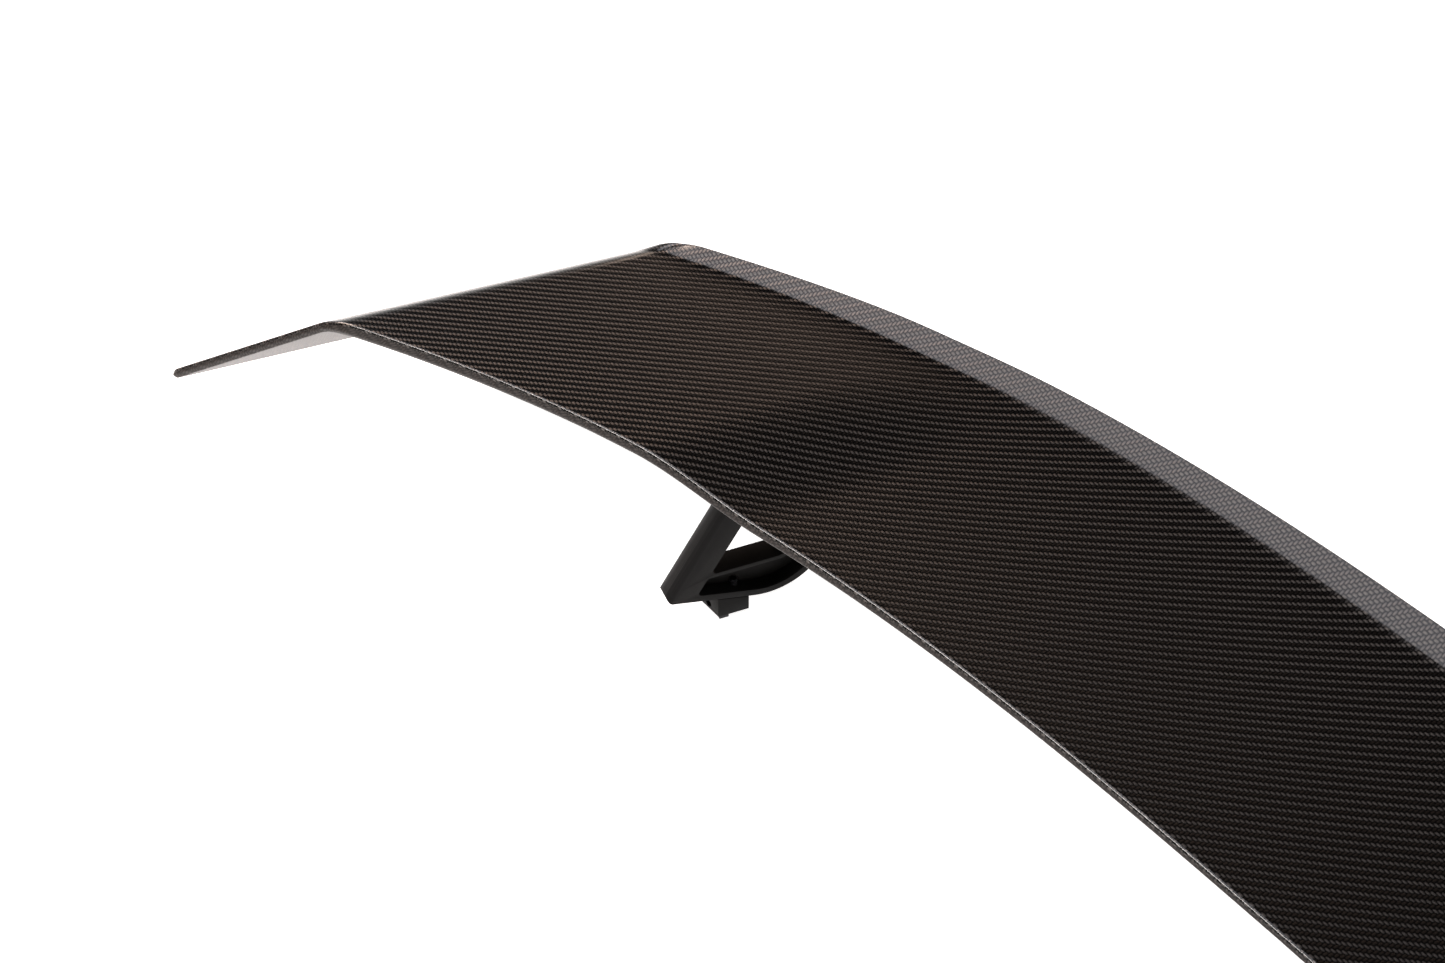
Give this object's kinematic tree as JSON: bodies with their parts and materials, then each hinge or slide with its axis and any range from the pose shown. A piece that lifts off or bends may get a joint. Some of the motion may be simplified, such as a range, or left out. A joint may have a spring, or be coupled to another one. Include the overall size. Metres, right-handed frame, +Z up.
{
  "type": "racing rear wing",
  "caption": "Wide swept wing blade with kicked-up trailing lip and turned-down ends, on a pair of toed-in V struts with foot blocks.",
  "frame": {"origin": "middle of the wing's footprint at its lowest point, the tips of the locating pegs", "axes": "+X across the car to the wing's right, +Y rearward from the leading edge to the trailing lip, +Z up"},
  "size_m": [1.7172, 0.4424, 0.1568],
  "materials": {
    "carbon_twill": "2x2 twill carbon laminate under a satin clear coat",
    "foam_core": "closed-cell structural foam",
    "satin_black": "fine satin black powder coat on cast aluminium",
    "bare_aluminium": "milled",
    "black_rubber": "moulded",
    "black_steel": "black oxide"
  },
  "bodies": {
    "root": {"upper_skin": "carbon_twill", "lower_skin": "carbon_twill", "core_centre": "foam_core", "core_left": "foam_core", "core_right": "foam_core", "tip_core_left": "foam_core", "tip_core_right": "foam_core", "strut_left": "satin_black", "strut_right": "satin_black", "hardpoint_front_left": "bare_aluminium", "hardpoint_front_right": "bare_aluminium", "hardpoint_rear_left": "bare_aluminium", "hardpoint_rear_right": "bare_aluminium", "gasket_front_left": "black_rubber", "gasket_front_right": "black_rubber", "gasket_rear_left": "black_rubber", "gasket_rear_right": "black_rubber", "blade_screw_front_inner_left": "black_steel", "blade_screw_front_inner_right": "black_steel", "blade_screw_front_outer_left": "black_steel", "blade_screw_front_outer_right": "black_steel", "blade_screw_rear_inner_left": "black_steel", "blade_screw_rear_inner_right": "black_steel", "blade_screw_rear_outer_left": "black_steel", "blade_screw_rear_outer_right": "black_steel", "foot_block_left": "satin_black", "foot_block_right": "satin_black", "foot_screw_left": "black_steel", "foot_screw_right": "black_steel", "grub_screw_left": "black_steel", "grub_screw_right": "black_steel", "locating_peg_left": "black_steel", "locating_peg_right": "black_steel"}
  },
  "joints": []
}
